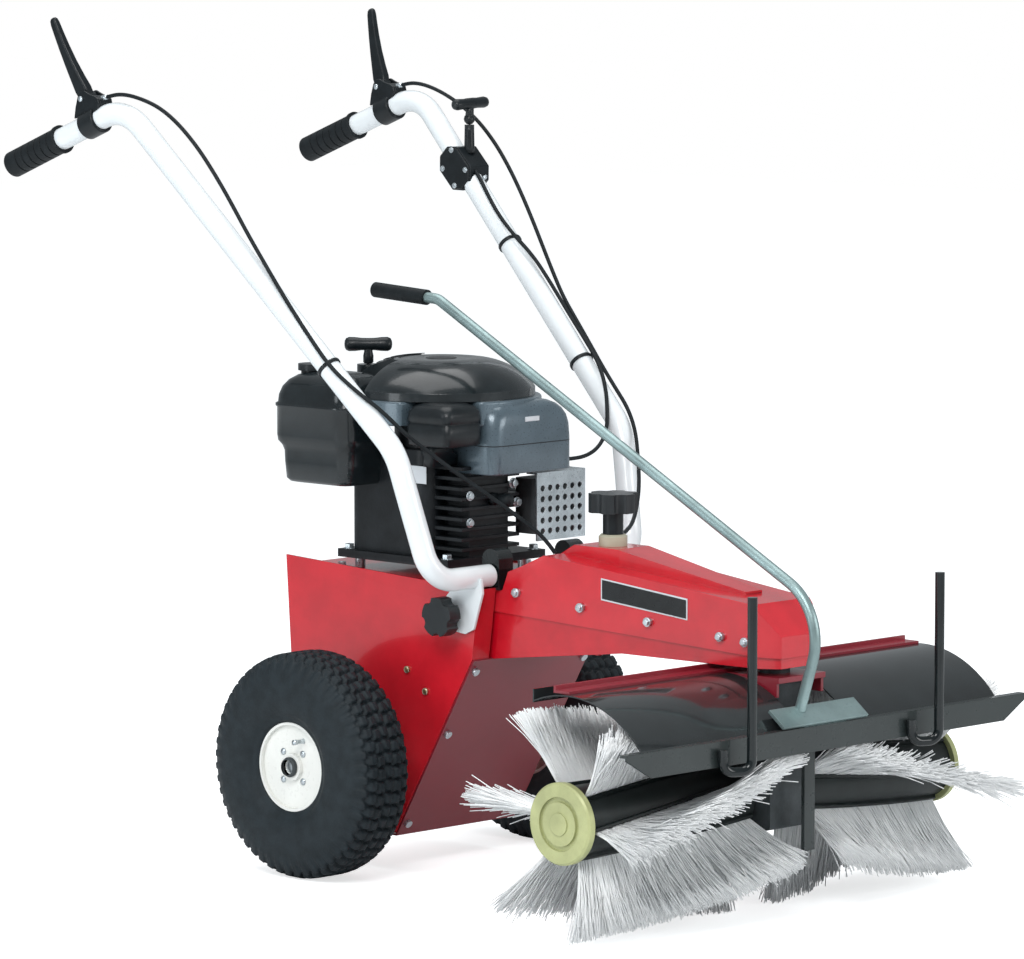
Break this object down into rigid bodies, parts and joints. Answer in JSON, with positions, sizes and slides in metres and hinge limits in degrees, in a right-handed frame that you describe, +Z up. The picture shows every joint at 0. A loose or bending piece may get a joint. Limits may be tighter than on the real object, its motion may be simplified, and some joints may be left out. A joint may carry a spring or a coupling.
{
  "type": "walk-behind sweeper",
  "caption": "Engine-driven walk-behind sweeper with a wide roller brush under two hoods at the front, a red boom, two wheels and two handles with hand levers.",
  "frame": {"origin": "on the floor, under the middle of the bounding box", "axes": "+Z up; the machine drives towards -Y, so the brush is at -Y and the handles at +Y; its left side is +X"},
  "size_m": [0.856, 1.4158, 1.2594],
  "materials": {
    "black_paint": "gloss",
    "black_plastic": "satin",
    "black_rubber": "matt",
    "bristle_white": "matt",
    "bronze": "satin",
    "brush_carrier": "satin",
    "cast_aluminium": "satin",
    "cast_grey": "matt",
    "engine_black": "satin",
    "galvanised": "satin",
    "grey_plastic": "satin",
    "rail_paint": "satin",
    "red_paint": "gloss",
    "rim_paint": "gloss",
    "ring_metal": "satin",
    "tyre_rubber": "matt",
    "white_paint": "gloss",
    "zinc_steel": "satin"
  },
  "bodies": {
    "chassis": {"side_plate_left": "red_paint", "side_plate_right": "red_paint", "front_plate": "red_paint", "engine_deck": "red_paint", "chassis_bolts": "zinc_steel", "boom_tray": "red_paint", "boom_cover": "red_paint", "handle_blocks": "black_paint", "lock_ring": "ring_metal", "brush_belt": "black_rubber", "engine_block": "engine_black", "blower_housing": "grey_plastic", "starter_cover": "black_plastic", "fuel_tank": "black_plastic", "air_filter_box": "black_plastic", "muffler": "cast_grey", "muffler_guard": "zinc_steel", "transmission_case": "cast_aluminium"},
    "drive_axle": {"axle_shaft": "zinc_steel"},
    "wheel_left": {"tyre_left": "tyre_rubber", "rim_left": "rim_paint"},
    "wheel_right": {"tyre_right": "tyre_rubber", "rim_right": "rim_paint"},
    "crank": {"crankshaft": "zinc_steel", "crank_pulley": "cast_aluminium"},
    "starter": {"recoil_grip": "black_plastic"},
    "filler_cap": {"fuel_cap": "black_plastic"},
    "height_spindle": {"height_knob": "black_plastic"},
    "idler": {"belt_idler": "zinc_steel"},
    "handle_left": {"handle_tube_left": "white_paint", "grip_left": "black_rubber", "lever_mount_left": "black_plastic", "throttle_box": "black_plastic", "cable_left": "black_rubber", "cable_throttle": "black_rubber"},
    "handle_right": {"handle_tube_right": "white_paint", "grip_right": "black_rubber", "lever_mount_right": "black_plastic", "cable_right": "black_rubber"},
    "lever_left": {"drive_lever_left": "black_plastic"},
    "lever_right": {"drive_lever_right": "black_plastic"},
    "throttle": {"throttle_lever": "black_plastic"},
    "clamp_left": {"clamp_knob_left": "black_plastic"},
    "clamp_right": {"clamp_knob_right": "black_plastic"},
    "brush_head": {"gearbox_case": "cast_grey", "head_bracket": "red_paint", "hood_left": "black_paint", "hood_right": "black_paint", "front_rail": "rail_paint", "guard_rods": "black_paint", "steering_rod": "galvanised", "steering_grip": "black_rubber"},
    "brush": {"brush_shaft": "zinc_steel", "worm_wheel": "bronze", "brush_tubes": "brush_carrier", "bristles_left": "bristle_white", "bristles_right": "bristle_white", "end_rings": "ring_metal"},
    "worm": {"worm_shaft": "zinc_steel", "brush_pulley": "cast_aluminium"}
  },
  "joints": [
    {"name": "axle_turn", "type": "hinge", "parent": "chassis", "child": "drive_axle", "pos_m": [0, 0.12512, 0.1675], "axis": [1, 0, 0], "continuous": true},
    {"name": "wheel_left_roll", "type": "hinge", "parent": "chassis", "child": "wheel_left", "pos_m": [0.248, 0.12512, 0.1675], "axis": [1, 0, 0], "continuous": true},
    {"name": "wheel_right_roll", "type": "hinge", "parent": "chassis", "child": "wheel_right", "pos_m": [-0.248, 0.12512, 0.1675], "axis": [1, 0, 0], "continuous": true},
    {"name": "crank_turn", "type": "hinge", "parent": "chassis", "child": "crank", "pos_m": [0, 0.09912, 0.384], "axis": [0, 0, 1], "continuous": true},
    {"name": "starter_pull", "type": "slide", "parent": "chassis", "child": "starter", "axis": [0, 0, 1], "range_m": [0, 0.35], "stiffness_N_per_m": 20, "springref_m": -0.3},
    {"name": "fuel_cap_turn", "type": "hinge", "parent": "chassis", "child": "filler_cap", "pos_m": [-0.118, 0.24912, 0.734], "axis": [0, 0, 1], "range_deg": [0, 90]},
    {"name": "height_turn", "type": "hinge", "parent": "chassis", "child": "height_spindle", "pos_m": [0, -0.25088, 0.55], "axis": [0, 0, 1], "range_deg": [-720, 720]},
    {"name": "idler_swing", "type": "hinge", "parent": "chassis", "child": "idler", "pos_m": [-0.05564, -0.27488, 0.384], "axis": [0, 0, -1], "range_deg": [0, 4.6]},
    {"name": "handle_left_tilt", "type": "hinge", "parent": "chassis", "child": "handle_left", "pos_m": [0.095, -0.09188, 0.452], "axis": [1, 0, 0], "range_deg": [-8, 8], "deforming": ["cable_left", "cable_throttle"]},
    {"name": "handle_right_tilt", "type": "hinge", "parent": "chassis", "child": "handle_right", "pos_m": [-0.095, -0.09188, 0.452], "axis": [1, 0, 0], "range_deg": [-8, 8], "deforming": ["cable_right"]},
    {"name": "lever_left_press", "type": "hinge", "parent": "handle_left", "child": "lever_left", "pos_m": [0.311, 0.53332, 1.1361], "axis": [-1, 0, 0], "range_deg": [0, 72], "stiffness_Nm_per_rad": 0.5, "springref_deg": -34.38},
    {"name": "lever_right_press", "type": "hinge", "parent": "handle_right", "child": "lever_right", "pos_m": [-0.311, 0.53332, 1.1361], "axis": [-1, 0, 0], "range_deg": [0, 72], "stiffness_Nm_per_rad": 0.5, "springref_deg": -34.38},
    {"name": "throttle_swing", "type": "hinge", "parent": "handle_left", "child": "throttle", "pos_m": [0.29706, 0.33112, 1.092], "axis": [1, 0, 0], "range_deg": [-25, 25]},
    {"name": "clamp_left_turn", "type": "hinge", "parent": "handle_left", "child": "clamp_left", "pos_m": [0.148, -0.05688, 0.394], "axis": [1, 0, 0], "range_deg": [0, 360]},
    {"name": "clamp_right_turn", "type": "hinge", "parent": "handle_right", "child": "clamp_right", "pos_m": [-0.148, -0.05688, 0.394], "axis": [-1, 0, 0], "range_deg": [0, 360]},
    {"name": "head_swivel", "type": "hinge", "parent": "chassis", "child": "brush_head", "pos_m": [0, -0.56488, 0.346], "axis": [0, 0, 1], "range_deg": [-15, 15]},
    {"name": "brush_spin", "type": "hinge", "parent": "brush_head", "child": "brush", "pos_m": [0, -0.51988, 0.168], "axis": [1, 0, 0], "continuous": true},
    {"name": "worm_spin", "type": "hinge", "parent": "brush_head", "child": "worm", "pos_m": [0, -0.56488, 0.384], "axis": [0, 0, 1], "continuous": true}
  ],
  "couplings": [
    {"joint": "worm_spin", "follows": "brush_spin", "ratio": -12},
    {"joint": "idler_swing", "follows": "lever_left_press", "ratio": 0.06388}
  ]
}
